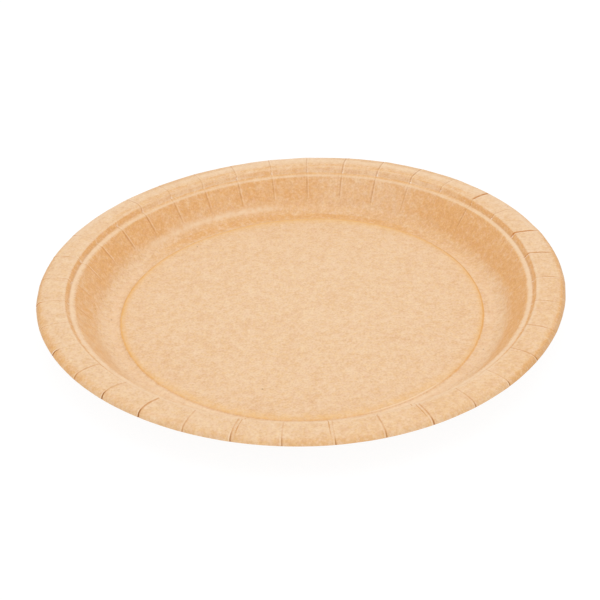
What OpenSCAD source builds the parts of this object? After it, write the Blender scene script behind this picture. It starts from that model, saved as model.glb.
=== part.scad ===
// Round paper plate, pressed from one flat disc of unbleached paperboard.
// The board is followed from the middle outwards as a chain of straight runs and round bends.
// The pleats are the folds that take up the spare board where the disc is drawn into a dish.

/* [Plate] */
// Diameter over the rolled lip, in mm
plate_d = 230; // [205:1:260]
// Height from the table to the crest of the rim, in mm
plate_h = 18; // [15:0.5:24]
// Thickness of the board, in mm
board_t = 0.5; // [0.3:0.05:0.7]

/* [Floor] */
// How far the flat floor stands above the ring that the plate rests on, in mm
floor_rise = 0.5; // [0.2:0.05:0.9]
// Radius of the two small bends at the floor's edge, on the upper face, in mm
crease_r = 1; // [0.8:0.1:2]
// Width of the flat ring that the plate rests on, in mm
foot_w = 1.1; // [0.6:0.1:4]

/* [Wall] */
// Radius of the hollow where the wall leaves the ring, in mm
fillet_r = 10.4; // [6:0.2:13]
// Slope of the wall, in degrees
wall_angle = 52; // [42:1:62]
// Radius of the shoulder at the top of the wall, in mm
shoulder_r = 1.6; // [1.2:0.1:3]

/* [Ledge] */
// Slope of the ledge between the wall and the riser, in degrees
ledge_angle = 16; // [4:1:25]
// Length of the ledge up its slope, in mm
ledge_w = 2; // [1:0.1:5]
// Radius of the bend between the ledge and the riser, in mm
riser_foot_r = 0.8; // [0.6:0.1:1.5]
// Slope of the riser, in degrees
riser_angle = 58; // [40:1:70]
// Length of the riser up its slope, in mm
riser_w = 1.3; // [0.4:0.1:3]
// Radius of the bend from the riser to the rim, in mm
riser_top_r = 1.3; // [1.2:0.1:2.5]

/* [Rim] */
// Slope at which the rim climbs to its crest, in degrees
rim_angle = 4; // [2:0.5:8]
// Length of the straight part of the rim, in mm
rim_w = 3.5; // [1:0.1:6]
// Radius of the rim's crown, in mm
crown_r = 24; // [15:1:40]
// Slope at which the crown runs down into the lip, in degrees
crown_fall = 10; // [5:1:14]
// Radius of the rolled lip, in mm
lip_r = 2.9; // [2:0.1:4]
// Slope of the board at its outer edge, in degrees
lip_angle = 66; // [45:1:80]
// Length of the straight edge below the lip's roll, in mm
edge_w = 0.4; // [0.2:0.1:1.5]

/* [Pleats] */
// Number of pleats round the plate
pleats = 36; // [24:1:48]
// Direction of the first pleat from the X axis, in degrees
first_pleat = 6.5; // [0:0.5:10]
// Width of the line that a pleat leaves on the upper face, at the lip, in mm
pleat_line_w = 0.45; // [0.3:0.05:0.8]
// Depth of that line, in mm
pleat_line_depth = 0.2; // [0.1:0.02:0.25]
// Width of the tuck folded under each pleat, at the lip, in mm
tuck_w = 2.2; // [1.2:0.1:4]
// Thickness that the tuck adds under the board, in mm
tuck_t = 0.3; // [0.15:0.05:0.4]
// Width of the notch where a pleat opens at the edge, in mm
notch_w = 0.9; // [0.5:0.1:1.6]
// Length of that notch, in mm
notch_l = 1.5; // [0.8:0.1:2.5]

/* [Hidden] */
$fn = 144;

kraft = [0.88, 0.71, 0.50];

// How far a cutter reaches past the upper face, and a tuck into the board
past_face = 0.3;
into_board = 0.1;
// Bends are drawn in steps of at most this turn, in degrees, coarser where the pleats cross them
plain_step = 6;
pleated_step = 14;

// A run is ["run", length]. A bend is ["bend", radius on the upper face, turn upwards in degrees].
step_angle = acos(1 - floor_rise / (2 * crease_r));
edge_moves = [
    ["bend", crease_r, -step_angle],
    ["bend", crease_r, step_angle],
    ["run", foot_w],
    ["bend", fillet_r, wall_angle],
];
rim_moves = [
    ["bend", shoulder_r, ledge_angle - wall_angle],
    ["run", ledge_w],
    ["bend", riser_foot_r, riser_angle - ledge_angle],
    ["run", riser_w],
    ["bend", riser_top_r, rim_angle - riser_angle],
    ["run", rim_w],
    ["bend", crown_r, -rim_angle],
];
lip_moves = [
    ["bend", crown_r, -crown_fall],
    ["bend", lip_r, crown_fall - lip_angle],
    ["run", edge_w],
];

// The wall is as long as the height needs, and the floor as wide as the diameter leaves
wall_w = (plate_h - board_t - floor_rise
    - chain_end(edge_moves, 0)[1]
    - chain_end(rim_moves, wall_angle)[1]) / sin(wall_angle);
floor_w = plate_d / 2
    - chain_end(edge_moves, 0)[0]
    - wall_w * cos(wall_angle)
    - chain_end(rim_moves, wall_angle)[0]
    - chain_end(lip_moves, 0)[0];

moves = concat([["run", floor_w]], edge_moves, [["run", wall_w]], rim_moves, lip_moves);
wall_move = 1 + len(edge_moves);
last_move = len(moves) - 1;
start = [0, board_t + floor_rise];

// The direction square to a heading, on the upper side of the board
function side(heading) = [-sin(heading), cos(heading)];

// How far a move goes, and turns, over its first share, starting at a heading
function turn(move, share = 1) = move[0] == "run" ? 0 : share * move[2];
function travel(move, heading, share = 1) = move[0] == "run"
    ? share * move[1] * [cos(heading), sin(heading)]
    : sign(move[2]) * move[1] * (side(heading) - side(heading + turn(move, share)));

// How far a chain of moves goes, starting at a heading
function chain_end(chain, heading, i = 0) = i == len(chain)
    ? [0, 0]
    : travel(chain[i], heading) + chain_end(chain, heading + turn(chain[i]), i + 1);

// Where move number i starts, and its heading there
function heading_at(i) = i == 0 ? 0 : heading_at(i - 1) + turn(moves[i - 1]);
function point_at(i) = i == 0 ? start : point_at(i - 1) + travel(moves[i - 1], heading_at(i - 1));

// The points of one move at a distance from the upper face
function steps(i) = max(1, ceil(abs(turn(moves[i])) / (i < wall_move ? plain_step : pleated_step)));
function move_points(i, distance) = [
    for (k = [1:steps(i)])
        let (share = k / steps(i), heading = heading_at(i))
            point_at(i) + travel(moves[i], heading, share)
                + distance * side(heading + turn(moves[i], share))
];

// The line of a stretch of moves at a distance from the upper face
function face_points(first, last, distance) = concat(
    [point_at(first) + distance * side(heading_at(first))],
    [for (i = [first:last]) each move_points(i, distance)]
);

function reversed(points) = [for (i = [len(points) - 1:-1:0]) points[i]];

// A layer of the board, over a stretch of its moves
module layer(first, last, low, high) {
    polygon(concat(
        face_points(first, last, low),
        reversed(face_points(first, last, high))
    ));
}

// The same layer at each pleat, as wide as said at the lip
module at_pleats(width, low, high) {
    sweep = width / (plate_d / 2) * 180 / PI;
    for (k = [0:pleats - 1])
        rotate(first_pleat + k * 360 / pleats - sweep / 2)
            rotate_extrude(angle = sweep)
                layer(wall_move, last_move, low, high);
}

// The small opening that a pleat leaves in the edge
module notches() {
    for (k = [0:pleats - 1])
        rotate(first_pleat + k * 360 / pleats)
            linear_extrude(2 * plate_h)
                polygon([
                    [plate_d / 2 - notch_l, 0],
                    [plate_d / 2 + notch_l, -notch_w],
                    [plate_d / 2 + notch_l, notch_w],
                ]);
}

module plate() {
    color(kraft)
        difference() {
            union() {
                rotate_extrude()
                    layer(0, last_move, -board_t, 0);
                at_pleats(tuck_w, -board_t - tuck_t, -board_t + into_board);
            }
            at_pleats(pleat_line_w, -pleat_line_depth, past_face);
            notches();
        }
}

plate();
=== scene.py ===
import math
import bpy
import numpy as np
from mathutils import Matrix, Vector, noise


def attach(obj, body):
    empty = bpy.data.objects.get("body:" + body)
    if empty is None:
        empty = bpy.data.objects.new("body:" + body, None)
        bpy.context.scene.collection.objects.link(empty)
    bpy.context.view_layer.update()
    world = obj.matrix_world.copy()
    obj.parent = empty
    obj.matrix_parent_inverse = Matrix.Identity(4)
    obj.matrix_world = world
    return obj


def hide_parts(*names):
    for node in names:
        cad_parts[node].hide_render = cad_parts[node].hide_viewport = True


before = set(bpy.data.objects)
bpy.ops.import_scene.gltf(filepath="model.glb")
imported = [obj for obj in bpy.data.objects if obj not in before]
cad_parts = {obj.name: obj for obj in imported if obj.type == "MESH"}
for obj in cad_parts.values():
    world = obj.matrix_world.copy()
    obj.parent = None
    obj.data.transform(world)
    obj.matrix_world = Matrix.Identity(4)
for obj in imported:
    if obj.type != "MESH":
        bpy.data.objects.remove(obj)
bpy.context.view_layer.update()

bpy.ops.object.select_all(action="DESELECT")


# The plate is one disc of unbleached paperboard, half a millimetre thick, pressed warm between two dies.
# The press leaves its section: a flat floor, the ring that it rests on, a wall, a ledge, a riser and a
# broad rim that is rolled down at the edge. Everything below is in mm until it goes into the mesh.

MM = 0.001
BOARD = 0.5
FLOOR_TOP = 1.0
EDGE_RADIUS = 115.0

# Each stretch of the section from the middle outwards: its length along the board, the angle that it
# turns through (upwards is positive), and the number of rings that it is drawn with
FLOOR = [(20, 0, 1), (20, 0, 1), (16, 0, 1), (12, 0, 1), (7, 0, 1), (4.99, 0, 3)]
FLOOR_CREASE = [(0.72, -41.4, 3), (0.72, 41.4, 3)]
FOOT = [(1.1, 0, 2)]
FILLET = [(9.44, 52, 9)]
WALL = [(12.75, 0, 10)]
SHOULDER = [(1.01, -36, 4)]
LEDGE = [(2, 0, 3)]
RISER = [(0.59, 42, 3), (1.3, 0, 2), (1.23, -54, 4)]
RIM = [(3.5, 0, 4), (1.68, -4, 2)]
LIP = [(4.19, -10, 5), (2.83, -56, 8), (0.4, 0, 1)]
SECTION = FLOOR + FLOOR_CREASE + FOOT + FILLET + WALL + SHOULDER + LEDGE + RISER + RIM + LIP


def length_of(*parts):
    return sum(length for part in parts for length, turn, rings in part)


# Places along the board, from the middle, that the pleats and the colours refer to
CREASE_AT = length_of(FLOOR)
WALL_FOOT_AT = CREASE_AT + length_of(FLOOR_CREASE, FOOT, FILLET)
SHOULDER_AT = WALL_FOOT_AT + length_of(WALL)
LEDGE_AT = SHOULDER_AT + length_of(SHOULDER)
RISER_AT = LEDGE_AT + length_of(LEDGE)
RIM_AT = RISER_AT + length_of(RISER)
LIP_AT = RIM_AT + length_of(RIM)
EDGE_AT = LIP_AT + length_of(LIP)


def walk(section):
    """The rings of the upper face: radius, height, heading in degrees and distance from the middle"""
    radius, height, heading, along = 0.0, FLOOR_TOP, 0.0, 0.0
    rings = [(radius, height, heading, along)]
    for length, turn, count in section:
        for step in range(count):
            middle = math.radians(heading + turn / count / 2)
            radius += length / count * math.cos(middle)
            height += length / count * math.sin(middle)
            heading += turn / count
            along += length / count
            rings.append((radius, height, heading, along))
    return np.array(rings)


# The lengths above are rounded, so the rings past the floor are drawn out to end at the true edge
upper = walk(SECTION)
upper[:, 0] *= np.interp(upper[:, 3], (0, CREASE_AT, EDGE_AT), (1, 1, EDGE_RADIUS / upper[-1, 0]))
slope = np.radians(upper[:, 2])
under = upper.copy()
under[:, 0] += BOARD * np.sin(slope)
under[:, 1] -= BOARD * np.cos(slope)
under[0, 0] = 0

# The underside needs a ring in two of the upper face's over the floor, fillet and wall
kept = [i for i in range(len(upper)) if i % 2 == 0 or upper[i, 3] > SHOULDER_AT or i == len(upper) - 1]
under = under[kept]
loop = np.vstack([upper, under[::-1]])
faces_down = np.arange(len(loop)) >= len(upper)

# A ring of points is placed on the section, and spun round the plate's axis in columns
PLEATS = 36
COLUMNS = 22
STEPS = PLEATS * COLUMNS
PITCH = 2 * math.pi / PLEATS
AXIS = {"center": (0, 0, 0), "axis": (0, 0, 1)}
DOUBLES = 0.002

bpy.ops.mesh.primitive_circle_add(vertices=len(loop), radius=MM, fill_type="NOTHING")
plate = bpy.context.object
plate.name = "pressed_plate"
for vertex, (radius, height, heading, along) in zip(plate.data.vertices, loop):
    vertex.co = (radius * MM, 0, height * MM)
bpy.ops.object.mode_set(mode="EDIT")
bpy.ops.mesh.select_all(action="SELECT")
bpy.ops.mesh.spin(steps=COLUMNS, angle=PITCH, **AXIS)
bpy.ops.mesh.select_all(action="SELECT")
bpy.ops.mesh.spin(steps=PLEATS - 1, angle=2 * math.pi - PITCH, dupli=True, **AXIS)
bpy.ops.mesh.select_all(action="SELECT")
bpy.ops.mesh.remove_doubles(threshold=DOUBLES * MM)
bpy.ops.mesh.normals_make_consistent(inside=False)
bpy.ops.mesh.select_all(action="DESELECT")
bpy.ops.object.mode_set(mode="OBJECT")

# Which ring and which column each point of the spun sheet is on, found a batch at a time
BATCH = 8000
count = len(plate.data.vertices)
points = np.empty(count * 3)
plate.data.vertices.foreach_get("co", points)
points = points.reshape(-1, 3) / MM
reach = np.hypot(points[:, 0], points[:, 1])
ring = np.empty(count, int)
for batch_start in range(0, count, BATCH):
    batch = slice(batch_start, batch_start + BATCH)
    away = np.hypot(reach[batch, None] - loop[:, 0], points[batch, 2][:, None] - loop[:, 1])
    ring[batch] = away.argmin(1)
column = np.rint(np.degrees(np.arctan2(points[:, 1], points[:, 0])) / 360 * STEPS).astype(int) % STEPS

# The pleats, one for every ten degrees from the right round by the back. Each is a fold that takes up
# the board left over as the disc is drawn in. It is creased hard into the wall, runs on over the ledge
# and riser, and gapes as a slit where the rim is rolled down.
# Columns: slit at the edge, length of the slit in mm, line over the rim, line down the wall, length of
# that line in mm, second line beside the first (to its left where it is negative), sideways bend of the
# line in mm half way over the rim and at the edge, and how far it leans at the wall and strays, in degrees
PLEAT_LOOKS = [
    (0.05, 3, 1.05, 0.10, 6, 0.0, -0.1, -0.2, 0.0, -0.4),
    (0.05, 3, 1.90, 0.30, 6, 0.0, -1.4, -3.4, 0.3, 0.2),
    (0.15, 3, 2.45, 0.30, 6, 0.0, -1.8, -3.5, 0.2, 0.0),
    (0.05, 3, 0.80, 0.15, 6, 0.0, -0.4, -1.0, 0.0, 0.2),
    (1.20, 6, 2.80, 0.85, 12, 0.1, -0.9, -2.0, -0.9, -0.6),
    (0.35, 3, 0.60, 0.35, 9, 0.0, -0.5, -1.0, -0.2, -0.2),
    (1.10, 4, 1.00, 0.55, 13, 0.3, -0.5, -1.0, -0.2, -0.5),
    (0.50, 4, 0.90, 0.85, 13, 0.0, 0.0, -0.3, 0.0, -0.4),
    (0.70, 4, 0.90, 0.75, 12, 0.3, 0.0, -1.2, 0.0, -0.3),
    (0.15, 3, 0.55, 0.70, 12, 0.0, 0.0, 0.0, -0.2, 0.0),
    (0.60, 4, 0.50, 0.60, 12, 0.0, 0.0, 0.0, 0.1, 0.0),
    (0.60, 4, 0.50, 0.75, 12, 0.1, 0.0, 0.0, 0.3, 0.0),
    (0.45, 4, 0.45, 0.65, 11, 0.0, 0.0, 0.0, 0.6, 0.0),
    (0.90, 4, 0.30, 0.75, 12, 0.0, 0.0, 0.0, 0.9, 0.0),
    (0.20, 3, 0.50, 0.90, 11, 0.0, -0.1, 0.0, 1.1, 0.0),
    (0.20, 3, 0.25, 1.15, 12, 0.0, 0.0, 0.0, 0.9, 0.0),
    (0.90, 4, 0.25, 0.95, 11, 0.0, 0.0, 0.0, 0.8, 0.0),
    (0.40, 4, 0.60, 1.00, 11, 0.3, 0.0, 0.0, 0.6, 0.0),
    (0.30, 4, 0.60, 0.50, 9, 0.0, 0.0, 0.0, 0.5, 0.0),
    (1.20, 4, 0.45, 0.70, 13, 0.0, 0.0, 0.3, 0.5, 0.0),
    (0.30, 4, 0.45, 0.30, 6, 0.0, 0.0, 0.1, 0.0, 0.0),
    (1.60, 4, 0.15, 0.20, 6, 0.0, 0.0, 0.1, 0.0, 0.0),
    (0.35, 4, 0.80, 0.30, 6, 0.0, -0.1, 0.6, 0.0, 0.0),
    (1.05, 4, 0.80, 0.50, 6, 0.2, -1.5, -0.9, 0.0, 0.0),
    (1.00, 4, 1.10, 0.50, 6, 0.2, -1.5, -1.2, 0.0, 0.0),
    (0.30, 4, 0.65, 0.40, 6, 0.0, 0.1, 0.2, 0.0, -0.48),
    (0.60, 4, 0.75, 0.40, 6, 1.3, -0.4, -0.3, 0.0, -0.3),
    (0.50, 4, 0.45, 0.40, 6, 0.0, -0.1, 0.2, 0.0, -0.42),
    (0.55, 3, 0.45, 0.40, 6, -0.8, -0.2, 0.0, 0.0, 0.0),
    (0.60, 3, 0.75, 0.40, 6, 0.0, 0.0, 0.0, 0.0, 0.0),
    (0.65, 4, 0.95, 0.40, 6, -0.9, 0.0, 0.0, 0.0, 0.0),
    (0.60, 3, 0.70, 0.50, 6, 0.0, -0.1, -0.1, 0.0, 0.0),
    (0.85, 3, 0.55, 0.30, 6, 0.0, -0.1, -0.1, 0.0, -0.2),
    (0.75, 3, 0.95, 0.25, 6, 0.0, 0.0, 0.0, 0.0, 0.0),
    (0.15, 3, 1.10, 0.20, 6, 0.0, 0.0, 0.0, 0.0, 0.0),
    (0.05, 3, 0.90, 0.10, 6, 0.0, -0.2, -0.6, 0.0, 0.0),
]
slit_looks, slit_mm, rim_looks, wall_looks, wall_mm = np.array(PLEAT_LOOKS).T[:5]
twin_looks, middle_bend, edge_bend, lean, stray = np.array(PLEAT_LOOKS).T[5:]

# The press spaced them a little unevenly, in slow waves round the plate. Here turns are in degrees.
FIRST_PLEAT = -3.5
even = np.radians(np.arange(PLEATS) * 360 / PLEATS)
unevenness = 1.6 * np.sin(even) + 0.85 * np.sin(2 * even) + 0.5 * np.cos(3 * (even - 0.52))
pleat_turn = np.degrees(even) + FIRST_PLEAT + unevenness + stray
before = np.append(pleat_turn[-1] - 360, pleat_turn[:-1])
after = np.append(pleat_turn[1:], pleat_turn[0] + 360)

# Columns crowd towards each pleat, so that its fold has the width of a fold
CROWDING = 2.2
HALF = COLUMNS // 2
share = np.arange(-HALF, HALF + 1) / HALF
crowded = np.sign(share) * np.abs(share) ** CROWDING
half_way = np.where(crowded < 0, (pleat_turn - before)[:, None], (after - pleat_turn)[:, None]) / 2
column_turn = pleat_turn[:, None] + crowded * half_way


def blend(x, low, high):
    """0 below low, 1 above high, and smooth between them"""
    t = np.clip((x - low) / (high - low), 0, 1)
    return t * t * (3 - 2 * t)


def line_shift(pleat, along, radius):
    """How far a pleat's line stands off its own direction, in degrees"""
    over_rim = np.clip((along - RIM_AT) / (EDGE_AT - RIM_AT), 0, 1)
    middle, edge = middle_bend[pleat], edge_bend[pleat]
    bent = over_rim * (4 * middle - edge + over_rim * (2 * edge - 4 * middle)) / np.maximum(radius, 1)
    return np.degrees(bent) + lean[pleat] * (1 - blend(along, LEDGE_AT, RIM_AT + 3))


# Where each point is now: its pleat, its place across it, and its offset from the pleat's line in mm.
# Half way to the next pleat the columns stand straight, and near the line they follow its bends.
STRAIGHTEN = 0.6
pleat = column // COLUMNS
place = column % COLUMNS
radius, height, heading, along = loop[ring].T
heading = np.radians(heading)
down = faces_down[ring]
pull = 1 - np.abs(crowded[place]) ** STRAIGHTEN
turn = np.radians(column_turn[pleat, place] + line_shift(pleat, along, radius) * pull)
offset = np.radians(column_turn[pleat, place] - pleat_turn[pleat]) * radius

# How strongly the pleat shows at each point: as an open slit, as a line, and as the line beside it.
# The darkest line is faint on the riser, and one that opens into no slit fades before the edge.
DARKEST = 2.5
NO_SLIT = 0.2
slit_start = EDGE_AT - slit_mm[pleat]
slit = slit_looks[pleat] * blend(along, slit_start - 1, slit_start + 2)
faint_on_riser = 0.15 + 0.85 * blend(along, RIM_AT - 0.4, RIM_AT + 0.8)
faded_at_edge = 1 - blend(along, LIP_AT + 1, EDGE_AT - 1)
rim_line = rim_looks[pleat] * blend(along, RISER_AT - 1, RISER_AT + 0.5)
rim_line *= np.where(rim_looks[pleat] > DARKEST, faint_on_riser, 1)
rim_line *= np.where(slit_looks[pleat] < NO_SLIT, faded_at_edge, 1)
wall_end = SHOULDER_AT - wall_mm[pleat]
over_ledge = 0.6 * blend(along, SHOULDER_AT - 1, LEDGE_AT) + 0.4 * blend(along, RISER_AT, RIM_AT)
wall_line = wall_looks[pleat] * blend(along, wall_end - 1, wall_end + 5) * (1 - over_ledge)
line = rim_line + wall_line
faint_at_edge = 1 - 0.8 * blend(along, LIP_AT, EDGE_AT - 2)
twin = twin_looks[pleat] * blend(along, wall_end, wall_end + 4) * faint_at_edge

# The fold: one side rides up on the other, with a sharp valley between them that deepens to the slit,
# and the spare board is tucked under them. The underside follows the fold by half.
RAISED = 0.075
RAISED_WIDTH = 1.3
LOWERED = 0.04
LOWERED_WIDTH = 0.9
VALLEY_DEPTH = 0.045
VALLEY_WIDTH = 0.14
SLIT_DEPTH = 0.08
TUCK_DEPTH = 0.3
TUCK_WIDTH = 1.1
lap_width = np.where(offset < 0, RAISED_WIDTH, LOWERED_WIDTH)
lap = np.where(offset < 0, RAISED, -LOWERED) * np.exp(-np.abs(offset) / lap_width)
strength = np.clip(line + 0.5 * slit, 0, 1.2)
valley = np.exp(-(offset / VALLEY_WIDTH) ** 2)
rise = strength * lap * (1 - valley)
rise -= valley * (VALLEY_DEPTH * np.minimum(line, 1) + SLIT_DEPTH * np.minimum(slit, 1))
tuck = -TUCK_DEPTH * np.exp(-(offset / TUCK_WIDTH) ** 4) * blend(along, WALL_FOOT_AT, WALL_FOOT_AT + 3)
rise = np.where(down, tuck + 0.5 * rise, rise)

# At the very edge the slit opens into a notch, and the board beside it is pushed away
NOTCH = 0.12
NOTCH_LENGTH = 2.2
PUSHED_WIDTH = 0.8
LINE_WIDTH = 0.02
notch = NOTCH * np.minimum(slit_looks[pleat], 1) * blend(along, EDGE_AT - NOTCH_LENGTH, EDGE_AT)
aside = np.sign(offset) * (np.abs(offset) > LINE_WIDTH) * np.exp(-np.abs(offset) / PUSHED_WIDTH)
turn += notch * aside / np.maximum(radius, 1)
rise -= notch * valley

# Between the pleats the rim is pulled a little straight, and the whole board is never quite even: it has
# dents and ripples, deeper on the wall than on the floor
FACET = 0.035
DENT_SIZE = 9
DENT_SHARE = 0.7
RIPPLE_SIZE = 3.5
RIPPLE_LAYER = 40
DENTED_AT = (0, CREASE_AT - 3, WALL_FOOT_AT, LEDGE_AT, EDGE_AT)
DENT_DEPTHS = (0.10, 0.05, 0.22, 0.12, 0.16)
dents = np.array([
    noise.noise(Vector((x, y, 0)) / DENT_SIZE) * DENT_SHARE
    + noise.noise(Vector((x, y, RIPPLE_LAYER)) / RIPPLE_SIZE) * (1 - DENT_SHARE)
    for x, y in zip(radius * np.cos(turn), radius * np.sin(turn))
])
rise += FACET * np.cos(np.pi * crowded[place]) * blend(along, RIM_AT, EDGE_AT)
rise += dents * np.interp(along, DENTED_AT, DENT_DEPTHS)

# The rim sags a little below its nominal height, and the plate is slightly out of round, its rim more
# than the rest. Each wave has its number round the plate, its size in mm and its phase. The whole lies a
# little off centre, and is drawn in by the fit, so that no wave stands outside the nominal size.
SAG = 0.26
PLATE_WAVES = [(2, 0.60, 2.55), (3, 0.76, 2.88)]
RIM_WAVES = [(2, 0.15, 0.10), (3, 0.19, 1.90), (4, 0.19, 0.39), (5, 0.07, 0.13)]
OFF_CENTRE = 0.19
FIT = 0.9925
# The distances from the middle over which each of these sets in
SAG_FROM_TO = (82, 100)
WAVES_FROM_TO = (0, 80)
RIM_WAVES_FROM_TO = (95, 110)


def waver(waves, turn):
    """How far waves round the plate carry each point outwards, in mm"""
    return sum(size * np.cos(number * turn - phase) for number, size, phase in waves)


wave_share = np.interp(radius, WAVES_FROM_TO, (0, 1))
rim_share = np.interp(radius, RIM_WAVES_FROM_TO, (0, 1))
sag = SAG * np.interp(radius, SAG_FROM_TO, (0, 1))
out_of_round = (waver(PLATE_WAVES, turn) + waver(RIM_WAVES, turn) * rim_share) * wave_share
new_radius = (radius - rise * np.sin(heading) + out_of_round) * FIT
new_height = (height + rise * np.cos(heading) - sag) * FIT
new_radius[radius == 0] = 0
new_x = new_radius * np.cos(turn)
new_y = new_radius * np.sin(turn) + OFF_CENTRE * wave_share
new_z = np.maximum(new_height, 0)
plate.data.vertices.foreach_set("co", (np.stack([new_x, new_y, new_z], -1) * MM).ravel())
plate.data.update()

# What the finish needs to know of the pleats: their strengths, and a map in mm across and along them
for name, values in (("slit", slit), ("line", line), ("twin", twin)):
    layer = plate.data.attributes.new(name, "FLOAT", "POINT")
    layer.data.foreach_set("value", values)
corner = np.empty(len(plate.data.loops), int)
plate.data.loops.foreach_get("vertex_index", corner)
face_start = np.empty(len(plate.data.polygons), int)
plate.data.polygons.foreach_get("loop_start", face_start)
face_corners = np.empty(len(plate.data.polygons), int)
plate.data.polygons.foreach_get("loop_total", face_corners)
corner_column = column[corner]
low = np.minimum.reduceat(corner_column, face_start)
high = np.maximum.reduceat(corner_column, face_start)
# A face starts at its lower column, but the one that closes the circle starts at the last
face_column = np.where(high - low > STEPS // 2, high, low)
first = np.repeat(face_column // COLUMNS * COLUMNS, face_corners)
face_pleat = first // COLUMNS
corner_place = np.clip((corner_column - first) % STEPS, 0, COLUMNS)
across = np.radians(column_turn[face_pleat, corner_place] - pleat_turn[face_pleat]) * radius[corner]
pleat_map = plate.data.uv_layers.new(name="pleat_map")
pleat_map.data.foreach_set("uv", np.stack([across, along[corner]], -1).ravel())

SHARP_ANGLE = 50
bpy.ops.object.shade_smooth_by_angle(angle=math.radians(SHARP_ANGLE))


# Unbleached kraft board: soft brown fibres with a few pale and dark ones, and a faint cloudiness. It is
# glazed satin. Its browner crease, wall, riser and lip are painted shade, and its pale lines painted
# highlights.
# Shares and masks go from 0 to 1, distances are in mm, and directions in degrees from the right.


class Finish:
    """A socket of a finish. A sum written on it becomes a Math node."""

    def __init__(self, tree, socket=None):
        self.tree = tree
        self.socket = socket

    def node(self, kind, inputs, output=0, **settings):
        """A new node: its kind, the values or links of its sockets, the output taken, and its settings"""
        made = self.tree.nodes.new(kind)
        for name, value in settings.items():
            setattr(made, name, value)
        for name, value in inputs.items():
            if isinstance(value, Finish):
                self.tree.links.new(value.socket, made.inputs[name])
            else:
                made.inputs[name].default_value = value
        return Finish(self.tree, made.outputs[output])

    def maths(self, operation, first, second):
        return self.node("ShaderNodeMath", {0: first, 1: second}, operation=operation)

    def __add__(self, other):
        return self.maths("ADD", self, other)

    __radd__ = __add__

    def __sub__(self, other):
        return self.maths("SUBTRACT", self, other)

    def __rsub__(self, other):
        return self.maths("SUBTRACT", other, self)

    def __mul__(self, other):
        return self.maths("MULTIPLY", self, other)

    __rmul__ = __mul__

    def __truediv__(self, other):
        return self.maths("DIVIDE", self, other)

    def __abs__(self):
        return self.maths("ABSOLUTE", self, 0)

    def ramp(self, low, high, smooth=True):
        """0 where this is below low, 1 where it is above high"""
        kind = "SMOOTHSTEP" if smooth else "LINEAR"
        inputs = {"Value": self, "From Min": low, "From Max": high, "To Min": 0.0, "To Max": 1.0}
        return self.node("ShaderNodeMapRange", inputs, interpolation_type=kind)

    def tint(self, share, colour):
        """This colour, mixed with another by a share"""
        return self.node("ShaderNodeMix", {0: share, 6: self, 7: (*colour, 1)}, 2, data_type="RGBA")

    def show(self, kind):
        """Makes this shader the surface that its material or world shows"""
        output = self.tree.nodes.new(kind)
        self.tree.links.new(self.socket, output.inputs["Surface"])


def bare_nodes(owner):
    """The emptied node tree of a new material or world"""
    owner.use_nodes = True
    owner.node_tree.nodes.clear()
    return Finish(owner.node_tree)


PER_METRE = 1000
kraft = bpy.data.materials.new("kraft_board")
board = bare_nodes(kraft)
spot = board.node("ShaderNodeTexCoord", {}, "Object")
level = board.node("ShaderNodeVectorMath", {0: spot, 1: (1, 1, 0)}, operation="MULTIPLY")
from_middle = board.node("ShaderNodeVectorMath", {0: level}, 1, operation="LENGTH") * PER_METRE
outward = board.node("ShaderNodeVectorMath", {0: level}, operation="NORMALIZE")
mapped = board.node("ShaderNodeUVMap", {}, uv_map="pleat_map")
over = board.node("ShaderNodeSeparateXYZ", {0: mapped}, 0)
run = board.node("ShaderNodeSeparateXYZ", {0: mapped}, 1)
slit_here = board.node("ShaderNodeAttribute", {}, "Fac", attribute_name="slit")
line_here = board.node("ShaderNodeAttribute", {}, "Fac", attribute_name="line")
twin_here = board.node("ShaderNodeAttribute", {}, "Fac", attribute_name="twin")


def cloud(size_mm, detail, stretch=None, degrees=0.0):
    """Noise about 0 with features of a size, drawn out along one direction where stretch says"""
    where = spot
    if stretch:
        settings = {"Vector": spot, "Rotation": (0, 0, math.radians(degrees)), "Scale": (1, stretch, 1)}
        where = board.node("ShaderNodeMapping", settings)
    inputs = {"Vector": where, "Scale": PER_METRE / size_mm, "Detail": detail, "Roughness": 0.6}
    return board.node("ShaderNodeTexNoise", inputs) - 0.5


def towards(degrees, low, high):
    """1 in a direction, 0 away from it; low and high are cosines of the angle off that direction"""
    way = (math.cos(math.radians(degrees)), math.sin(math.radians(degrees)), 0)
    along_way = board.node("ShaderNodeVectorMath", {0: outward, 1: way}, 1, operation="DOT_PRODUCT")
    return along_way.ramp(low, high)


def ring_of(inner, outer, soft_mm):
    """1 between two distances from the middle, with soft borders"""
    inside = from_middle.ramp(outer - soft_mm, outer + soft_mm)
    return from_middle.ramp(inner - soft_mm, inner + soft_mm) * (1 - inside)


def between(start, full, fade, end):
    """1 along a stretch of the section, from where it is full to where it starts to fade"""
    return run.ramp(start, full) * (1 - run.ramp(fade, end))


def line_at(place, full, end):
    """1 on a line round the plate at a place along the section, 0 where it ends on either side"""
    return 1 - abs(run - place).ramp(full, end)


HAIR_STRETCH = 4


def hairs(size_mm, directions, low, high):
    """1 on thin hairs that lie in a few directions"""
    return sum(cloud(size_mm, 2, HAIR_STRETCH, degrees).ramp(low, high) for degrees in directions)


# Noises from fine to broad, hairs of pale and of dark fibre, and a few specks
fine = cloud(0.9, 3)
soft = cloud(2.7, 2)
middling = cloud(9, 2)
broad = cloud(28, 2)
clouds = soft * 0.54 + middling * 0.17 + broad * 0.05
warmth = cloud(1.5, 2)
fibres = hairs(1.4, (15, 75, -40), 0.13, 0.24)
dark_fibres = hairs(1.2, (40, -70), 0.17, 0.27)
SPECKS_PER_METRE = 190
from_speck = board.node("ShaderNodeTexVoronoi", {"Vector": spot, "Scale": SPECKS_PER_METRE}, "Distance")
specks = (1 - from_speck.ramp(0.04, 0.10)) * cloud(9, 1).ramp(0.12, 0.2)
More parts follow.
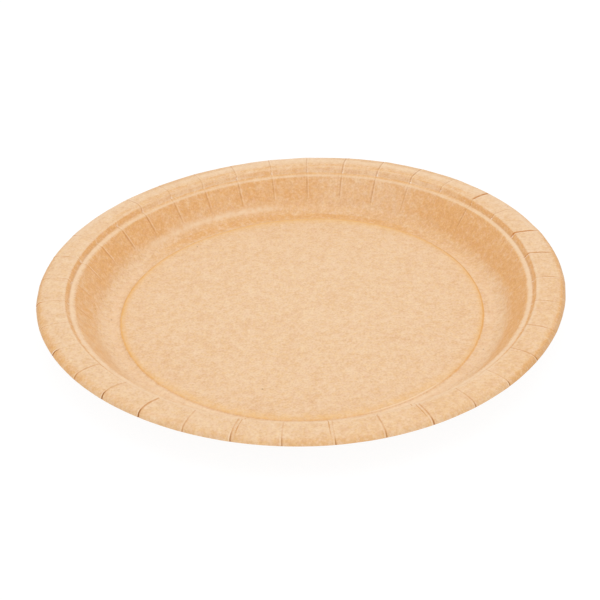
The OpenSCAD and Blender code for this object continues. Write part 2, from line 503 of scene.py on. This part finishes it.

# Painted shade, from 0 on the plain floor to 1 where the board is painted most shaded. No ring of the
# plate
# is shaded evenly all the way round: each has stretches painted paler with light or browner with shade.
# The floor's own colour, and the brown of the painted shade
PALE = (0.83, 0.55, 0.315)
SHADED_BROWN = (0.79, 0.42, 0.15)
back = towards(92, 0.25, 0.85)
right_end = towards(12, 0.6, 0.97)

# The wall in painted shade, blotched, deepest at the right and paler with painted light at the back right
# and near left; and the fillet at its foot in painted shade at the back
drawn = from_middle.ramp(87, 93.5) * (1 - run.ramp(SHOULDER_AT - 0.6, LEDGE_AT + 0.2))
blotches = cloud(4.5, 2) * 1.8 + cloud(14, 2)
shaded_wall = right_end * 0.86 + towards(152, 0.93, 0.99) * 0.35 + towards(122, 0.9, 0.98) * 0.1
lit_wall = towards(64, 0.9, 0.99) * 0.45 + towards(206, 0.92, 0.99) * 0.3
shaded_fillet = towards(75, 0.2, 0.8) * 0.5 + towards(112, 0.8, 0.97) * 0.15
painted_shade = drawn * (0.78 + blotches + shaded_wall - lit_wall)
painted_shade += ring_of(82, 90, 1.2) * shaded_fillet

# Painted shade on the lip, deepest at its two ends, and on the start of its roll at the near left; painted
# light makes the lip paler at the front and the back
lip = run.ramp(LIP_AT + 3.2, LIP_AT + 6.0)
lip_roll = (run.ramp(LIP_AT + 2.2, LIP_AT + 3.8) - lip) * towards(216, 0.8, 0.96)
lip_ends = towards(-8, 0.7, 1) * 0.9 + towards(192, 0.8, 0.98) * 0.5
shaded_lip = towards(67, 0.93, 0.985) * 0.78 + towards(118, 0.94, 0.99) * 0.85
lit_lip = towards(240, 0.9, 0.98) * 0.3 + towards(300, 0.93, 0.985) * 0.55 + back * 0.3
painted_shade += lip_roll * 0.4
painted_shade += lip * (0.6 + lip_ends + shaded_lip - lit_lip + cloud(3, 2) * 0.9)

# Painted shade on the ledge and the start of the rim round the back, in streaks: the noise is read by
# direction and by place along the section, so that its streaks follow the ring
STREAK_RADIUS = 9.0
STREAKS_PER_MM = 0.8
ring_way = board.node("ShaderNodeVectorMath", {0: outward, 3: STREAK_RADIUS}, operation="SCALE")
ring_x = board.node("ShaderNodeSeparateXYZ", {0: ring_way}, 0)
ring_y = board.node("ShaderNodeSeparateXYZ", {0: ring_way}, 1)
ring_place = board.node("ShaderNodeCombineXYZ", {0: ring_x, 1: ring_y, 2: run * STREAKS_PER_MM})
streaks = board.node("ShaderNodeTexNoise", {"Vector": ring_place, "Scale": 1.0, "Detail": 2.0}) - 0.5
ledge = between(LEDGE_AT - 0.4, LEDGE_AT + 0.3, RISER_AT - 0.5, RISER_AT + 0.1)
inner_rim = between(LEDGE_AT - 0.6, LEDGE_AT + 0.3, RIM_AT + 2.2, RIM_AT + 3.4)
painted_shade += inner_rim * back * (0.50 + streaks * 2.0 + ledge * 0.25)

# Painted shade on the riser, but for the back where painted light makes it paler, and on its foot and top
# at the right
riser = between(RISER_AT - 0.45, RISER_AT + 0.15, RIM_AT - 1.15, RIM_AT - 0.6)
riser_foot = line_at(RISER_AT + 0.1, 0.2, 0.9) * towards(22, 0.7, 0.95)
riser_top = line_at(RIM_AT - 0.6, 0.2, 0.8) * towards(36, 0.9, 0.98)
lit_riser = towards(67, 0.9, 0.98) * 0.68 + towards(122, 0.92, 0.99) * 0.32
painted_shade += riser * (0.95 + cloud(5, 2)) * (1 - towards(90, 0.5, 0.86))
painted_shade -= riser * (lit_riser + towards(199, 0.95, 0.99) * 0.3)
painted_shade += riser_foot * 0.22 + riser_top * 0.25

# Painted shade on the shoulder at the right, the rim at the near right, and the ring round the floor at
# the back
shoulder = between(SHOULDER_AT - 0.4, SHOULDER_AT + 0.1, LEDGE_AT - 0.3, LEDGE_AT + 0.3)
near_right_rim = run.ramp(RIM_AT - 0.2, RIM_AT + 1.5) * towards(-40, 0.55, 0.9)
back_ring = ring_of(80.6, 85.4, 0.5) * towards(95, 0.55, 0.9)
painted_shade += shoulder * (right_end * 0.35 - back * 0.1)
painted_shade += near_right_rim * 0.24
painted_shade += back_ring * (0.5 + cloud(3, 2) * 1.5)
colour = board.node("ShaderNodeMix", {0: painted_shade, 6: (*PALE, 1), 7: (*SHADED_BROWN, 1)}, 2, data_type="RGBA")

# The mottle: each noise turns the board one colour where it is low and another where it is high. Beside
# the noise stand the level where it is full, and the share and colour at its low and at its high.
MOTTLE = [
    (clouds, 0.4, 0.95, (0.66, 0.31, 0.09), 0.85, (0.97, 0.78, 0.56)),
    (fine, 0.4, 0.62, (0.55, 0.28, 0.10), 0.50, (1.0, 0.82, 0.57)),
    (warmth, 0.3, 0.32, (0.88, 0.57, 0.42), 0.34, (0.90, 0.57, 0.22)),
]
PALE_FIBRE = (1.0, 0.82, 0.55)
DARK_FIBRE = (0.42, 0.22, 0.09)
SPECK = (0.25, 0.12, 0.05)
for mottle, full, low_share, low_colour, high_share, high_colour in MOTTLE:
    colour = colour.tint((mottle * -1).ramp(0, full, False) * low_share, low_colour)
    colour = colour.tint(mottle.ramp(0, full, False) * high_share, high_colour)
colour = colour.tint(fibres * 0.18, PALE_FIBRE)
colour = colour.tint(dark_fibres * 0.09, DARK_FIBRE)
colour = colour.tint(specks * 0.7, SPECK)

# Painted shade along the lip's edge at the right and left, with browner stretches of painted shade and
# paler stretches of painted light round the back
SHADED_EDGE = (0.45, 0.24, 0.11)
LIP_SHADE_BROWN = (0.67, 0.33, 0.08)
LIP_LIGHT_PALE = (0.88, 0.64, 0.43)
edge_ends = towards(-8, 0.7, 0.97) + towards(165, 0.8, 0.97) * 0.7
browner_lip_stretches = towards(65, 0.93, 0.98) + towards(119, 0.95, 0.99)
paler_lip_stretches = towards(91, 0.97, 0.995) + towards(150, 0.97, 0.995) + towards(28, 0.96, 0.99) * 0.8
lip_start = run.ramp(LIP_AT + 0.9, LIP_AT + 2.6)
colour = colour.tint(run.ramp(LIP_AT + 4.6, LIP_AT + 5.8) * edge_ends * 0.2, SHADED_EDGE)
colour = colour.tint(lip_start * browner_lip_stretches * 0.25, LIP_SHADE_BROWN)
colour = colour.tint(lip_start * paler_lip_stretches * 0.35, LIP_LIGHT_PALE)

# Painted highlights where the glazed board catches the light: the shoulder, the crest of the riser, the
# crown of the rim at the back, and the fillet at the back left. The riser's foot has painted shade.
HIGHLIGHT_PALE = (0.90, 0.66, 0.43)
SHADED_FOOT = (0.45, 0.22, 0.10)
shoulder_highlight = line_at(LEDGE_AT + 1.0 - back * 1.1, 0.3, 1.2) * (0.52 - back * (0.16 - streaks * 0.8))
crest_highlight = line_at(RIM_AT - 0.1 - towards(118, 0.9, 0.99) * 0.8, 0.1, 0.9) * 0.22
crown_highlight = line_at(LIP_AT + 0.4, 0.3, 2.4) * towards(80, 0.5, 0.95) * 0.38
fillet_share = towards(121, 0.88, 0.98) * 0.72 + towards(92, 0.9, 0.98) * 0.15
fillet_highlight = ring_of(87.8, 89.8, 1.0) * fillet_share * (1 + cloud(2.5, 2) * 2.4)
colour = colour.tint(shoulder_highlight + crest_highlight + crown_highlight + fillet_highlight, HIGHLIGHT_PALE)
foot_share = (1 - back * 0.7) * (1 - towards(-90, -0.1, 0.5))
colour = colour.tint(line_at(RISER_AT + 0.1, 0.2, 0.7) * foot_share * 0.26, SHADED_FOOT)

# Painted shade in the crease at the floor's edge, sharp on its outer side, softer at the front and with a
# painted highlight in one place there. Within it the floor's edge has painted shade too, and past it the
# ring and the step up from it have painted light.
WARM_SIDE = (0.84, 0.46, 0.13)
WARM_CORE = (0.80, 0.39, 0.05)
WARM_FLOOR = (0.90, 0.51, 0.12)
RING_LIGHT = (0.93, 0.64, 0.39)
STEP_HIGHLIGHT = (1.0, 0.80, 0.56)
CREASE_HIGHLIGHT = (0.95, 0.72, 0.48)
front = towards(-95, 0.45, 0.85)
crease_glint_here = towards(-60, 0.965, 0.99)
waver_here = cloud(5, 2) * (0.6 + front * 0.8) + towards(180, 0.75, 0.97) * 0.5 + front * 0.35
crease = run + waver_here - CREASE_AT
patchy = cloud(2.4, 2) * (1.2 + front * 1.6) + 0.9
warm_line = patchy * (1 - crease_glint_here)
gradient = crease.ramp(-2.0, 0.3) * (1 - crease.ramp(0.7, 1.3))
gradient_share = 0.56 - front * 0.41 - towards(-40, 0.9, 0.99) * 0.18
core = 1 - abs(crease - 0.7).ramp(0.15, 0.65)
core_share = (1 - front * 0.85 - towards(-42, 0.85, 0.98) * 0.25) * (0.42 + towards(30, 0.7, 0.95) * 0.1)
warm_band = between(CREASE_AT - 5.5, CREASE_AT - 1.5, CREASE_AT + 0.3, CREASE_AT + 0.9)
warm_share = 0.06 + front * 0.21 + towards(85, 0.75, 0.97) * 0.2
colour = colour.tint(gradient * warm_line * gradient_share, WARM_SIDE)
colour = colour.tint(warm_band * patchy * warm_share, WARM_FLOOR)
colour = colour.tint(core * warm_line * core_share, WARM_CORE)
colour = colour.tint(ring_of(81.6, 84.5, 0.4) * (1 - back) * 0.18, RING_LIGHT)
colour = colour.tint(line_at(CREASE_AT + 2.1, 0.4, 1.6) * front * 0.30, STEP_HIGHLIGHT)
colour = colour.tint(line_at(CREASE_AT + 0.2, 0.1, 0.5) * crease_glint_here * 0.7, CREASE_HIGHLIGHT)

# Pleat lines: painted shade in the valley, deeper painted shade in the slit, and a painted highlight on
# the fold's raised side, whose edge is also paler fibre
PALE_EDGE_AND_GLINT = (0.98, 0.80, 0.60)
VALLEY_SHADE = (0.60, 0.20, 0.01)
LINE_SHADE = (0.42, 0.20, 0.07)
TWIN_SHADE = (0.60, 0.22, 0.02)
SLIT_SHADE = (0.37, 0.13, 0.02)
TWIN_OFFSET = 1.35
RAISED_OFFSET = 0.66
near_side = towards(-95, 0.0, 0.6)
rough_edge = cloud(1.1, 2) * 0.3
near = abs(over + rough_edge)
broken = cloud(2.6, 2) * 2.0 + 1.0
thin = (1 - (near / (line_here * 0.26 + 0.3)).ramp(0.25, 1.0)) * broken
right_of = over.ramp(-0.1, 0.1)
twin_side = twin_here.ramp(0, 1) * right_of + (twin_here * -1).ramp(0, 1) * (1 - right_of)
second = (1 - abs(abs(over) - TWIN_OFFSET + rough_edge).ramp(0.05, 0.30)) * twin_side
flank_share = line_here * (0.28 - near_side * 0.2) + slit_here * (0.3 + near_side * 0.2)
flank = (1 - abs(over + RAISED_OFFSET).ramp(0.12, 0.36)) * flank_share.ramp(0, 1, False)
gap = (1 - near.ramp(0.10, 0.32)) * slit_here
colour = colour.tint(flank, PALE_EDGE_AND_GLINT)
colour = colour.tint(thin * line_here * (0.36 - back * 0.08 + near_side * 0.1), VALLEY_SHADE)
colour = colour.tint(thin * line_here.ramp(0, 1, False) * (0.08 + back * 0.22), LINE_SHADE)
colour = colour.tint(second * broken * 0.7, TWIN_SHADE)
colour = colour.tint(gap * near_side, SLIT_SHADE)
colour = colour.tint(gap * (1 - near_side), VALLEY_SHADE)

# The fold stands up where it crosses the riser, and has a painted highlight there
FOLD_GLINT = (1.0, 0.86, 0.72)
GLINT_OFFSET = 0.25
fold_glint_mask = (1 - abs(over + GLINT_OFFSET).ramp(0.15, 0.45)) * line_at(RISER_AT + 0.5, 0.3, 1.3)
glint_share = line_here.ramp(0, 1, False) * (cloud(1.2, 1) * 3.6 + 0.35)
colour = colour.tint(fold_glint_mask * glint_share, FOLD_GLINT)

# The board is satin, smoother where it was drawn, and its fibres and lines stand in low relief
RELIEF_MM = 0.12
roughness = 0.52 + fine * 0.25 - drawn * 0.06
relief = fine * 0.4 + soft * 0.2 + fibres * 0.10 - dark_fibres * 0.06
relief = relief - thin * line_here * 0.2 - second * 0.2
bump = board.node("ShaderNodeBump", {"Strength": 0.5, "Distance": RELIEF_MM * MM, "Height": relief})
satin = board.node(
    "ShaderNodeBsdfPrincipled",
    {"Base Color": colour, "Roughness": roughness, "Normal": bump, "Specular IOR Level": 0.5},
)
satin.show("ShaderNodeOutputMaterial")
plate.data.materials.append(kraft)

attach(plate, "root")
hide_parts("plate")


# The table that the plate stands on is plain white. To the camera it is paper white, apart from the
# soft shadow that the plate leaves under its rim. Its size is in metres, as the lamps' are.

TABLE_SIZE = 6
PURE_WHITE = (1, 1, 1, 1)
MATT_WHITE = (0.8, 0.8, 0.8, 1)
DIM_WHITE = (0.11, 0.11, 0.11, 1)
TABLE_GLOW = 0.93
bpy.ops.mesh.primitive_plane_add(size=TABLE_SIZE, location=(0, 0, 0))
table = bpy.context.object
table.name = "table_top"
white = bpy.data.materials.new("table_white")
top = bare_nodes(white)
camera_rays = top.node("ShaderNodeLightPath", {}, "Is Camera Ray")
glossy_rays = top.node("ShaderNodeLightPath", {}, "Is Glossy Ray")
clear_rays = top.node("ShaderNodeLightPath", {}, "Is Transmission Ray")
seen = top.maths("MAXIMUM", top.maths("MAXIMUM", camera_rays, glossy_rays), clear_rays)
matt = top.node("ShaderNodeBsdfDiffuse", {"Color": MATT_WHITE})
dim_matt = top.node("ShaderNodeBsdfDiffuse", {"Color": DIM_WHITE})
glow = top.node("ShaderNodeEmission", {"Color": PURE_WHITE, "Strength": TABLE_GLOW})
glowing = top.node("ShaderNodeAddShader", {0: dim_matt, 1: glow})
table_look = top.node("ShaderNodeMixShader", {0: seen, 1: matt, 2: glowing})
table_look.show("ShaderNodeOutputMaterial")
table.data.materials.append(white)


# Studio light: a white room, a broad lamp overhead, one behind that glances off the glazed board, and a
# low one in front that fills the shade. The room is brighter to the camera than it is on the plate.

ROOM_LIGHT = 0.84
ROOM_SEEN = 1.0
room = bpy.data.worlds.new("white_room")
bpy.context.scene.world = room
air = bare_nodes(room)
seen_by_camera = air.node("ShaderNodeLightPath", {}, "Is Camera Ray")
dim = air.node("ShaderNodeBackground", {"Color": PURE_WHITE, "Strength": ROOM_LIGHT})
bright = air.node("ShaderNodeBackground", {"Color": PURE_WHITE, "Strength": ROOM_SEEN})
room_look = air.node("ShaderNodeMixShader", {0: seen_by_camera, 1: dim, 2: bright})
room_look.show("ShaderNodeOutputWorld")


def lamp(name, place, size, power):
    """A square lamp that faces the plate"""
    bpy.ops.object.light_add(type="AREA", location=place)
    made = bpy.context.object
    made.name = name
    made.data.shape = "SQUARE"
    made.data.size = size
    made.data.energy = power
    made.rotation_euler = (-Vector(place)).to_track_quat("-Z", "Y").to_euler()


lamp("lamp_overhead", (0.1, -0.1, 1.3), 0.9, 3.0)
lamp("lamp_behind", (0.1, 1.1, 0.85), 0.9, 1.0)
lamp("lamp_front", (0.0, -1.3, 0.35), 0.9, 1.1)


# The camera looks down at the plate from the front, a little rolled. Its distance, its aim and its lens
# are in mm.

ELEVATION = math.radians(32.74)
ROLL = math.radians(-2.122)
DISTANCE = 654.42
LENS = 89.7
SENSOR = 36
AIM = Vector((-1.196, 0.189, 5.733))

sideways = Vector((1, 0, 0))
forward = Vector((0, math.cos(ELEVATION), -math.sin(ELEVATION)))
level_up = sideways.cross(forward)
right = math.cos(ROLL) * sideways + math.sin(ROLL) * level_up
up = -math.sin(ROLL) * sideways + math.cos(ROLL) * level_up
eye = (AIM - forward * DISTANCE) * MM
bpy.ops.object.camera_add()
camera = bpy.context.object
camera.name = "camera"
camera.matrix_world = Matrix((
    (right.x, up.x, -forward.x, eye.x),
    (right.y, up.y, -forward.y, eye.y),
    (right.z, up.z, -forward.z, eye.z),
    (0, 0, 0, 1),
))
camera.data.lens = LENS
camera.data.sensor_width = SENSOR
camera.data.clip_start = 0.01
camera.data.clip_end = 20
bpy.context.scene.camera = camera

bpy.context.scene.view_settings.view_transform = "Standard"
